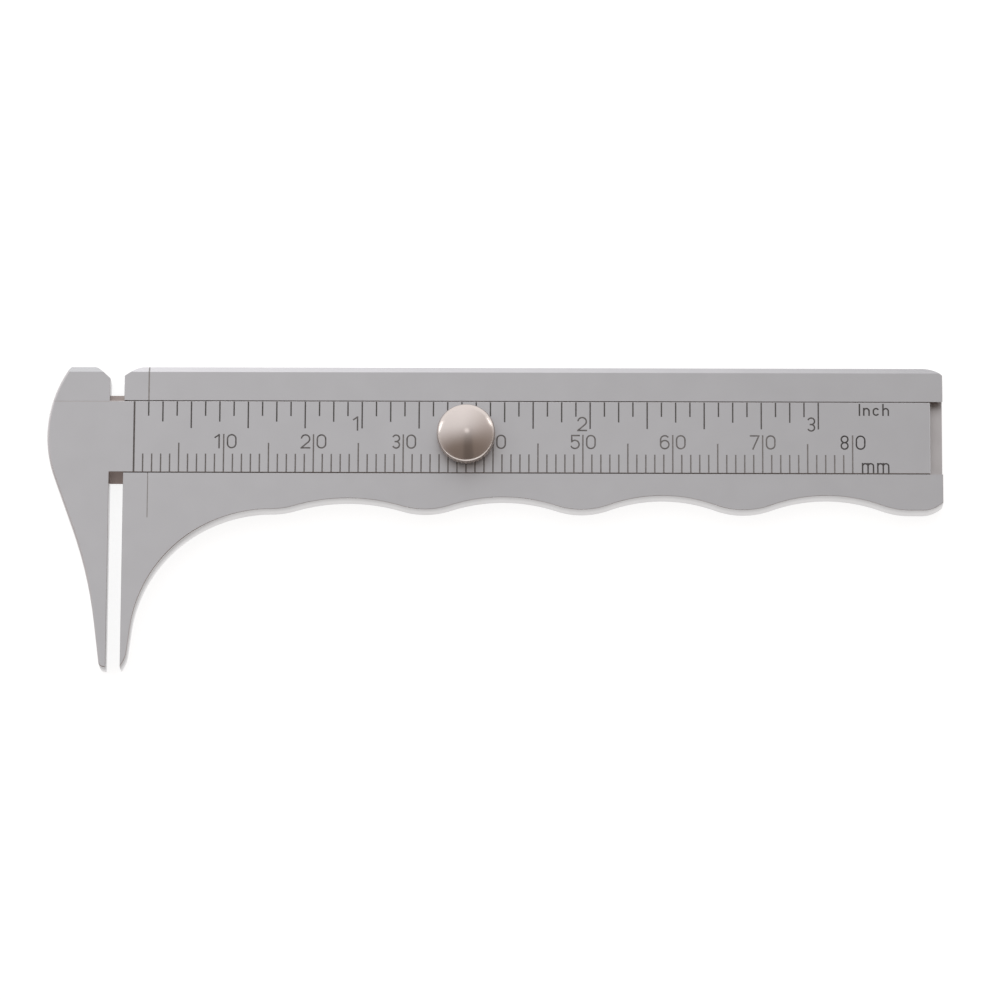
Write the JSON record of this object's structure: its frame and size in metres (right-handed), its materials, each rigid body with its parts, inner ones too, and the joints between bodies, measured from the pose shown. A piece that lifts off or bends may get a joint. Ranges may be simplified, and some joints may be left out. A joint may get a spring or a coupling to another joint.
{
  "type": "surgical caliper",
  "caption": "Sliding surgical caliper with two slim jaws, a dovetail slide with millimetre and inch scales, finger scallops and a thumb knob.",
  "frame": {"origin": "on the frame's flat back, on the slide's axis, halfway along the frame's length", "axes": "+X along the slide, from the jaws to the plain end; +Y across it, away from the jaws' tips; +Z out of the scaled face"},
  "size_m": [0.0997, 0.0343, 0.0068],
  "materials": {
    "satin_steel": "satin",
    "spring_steel": "bright",
    "polished_knob": "polished",
    "dark_fill": "matte enamel in the engraving"
  },
  "bodies": {
    "frame": {"frame": "satin_steel", "stop_pin": "satin_steel", "index_lines": "dark_fill"},
    "slide": {"slide": "satin_steel", "friction_spring": "spring_steel", "knob_stud": "satin_steel", "thumb_knob": "polished_knob", "zero_line": "dark_fill", "mm_marks": "dark_fill", "inch_marks": "dark_fill", "mm_numerals": "dark_fill", "inch_numerals": "dark_fill", "unit_labels": "dark_fill"}
  },
  "joints": [
    {"name": "jaw_slide", "type": "slide", "parent": "frame", "child": "slide", "axis": [-1, 0, 0], "range_m": [-0.00159, 0.07841]}
  ]
}
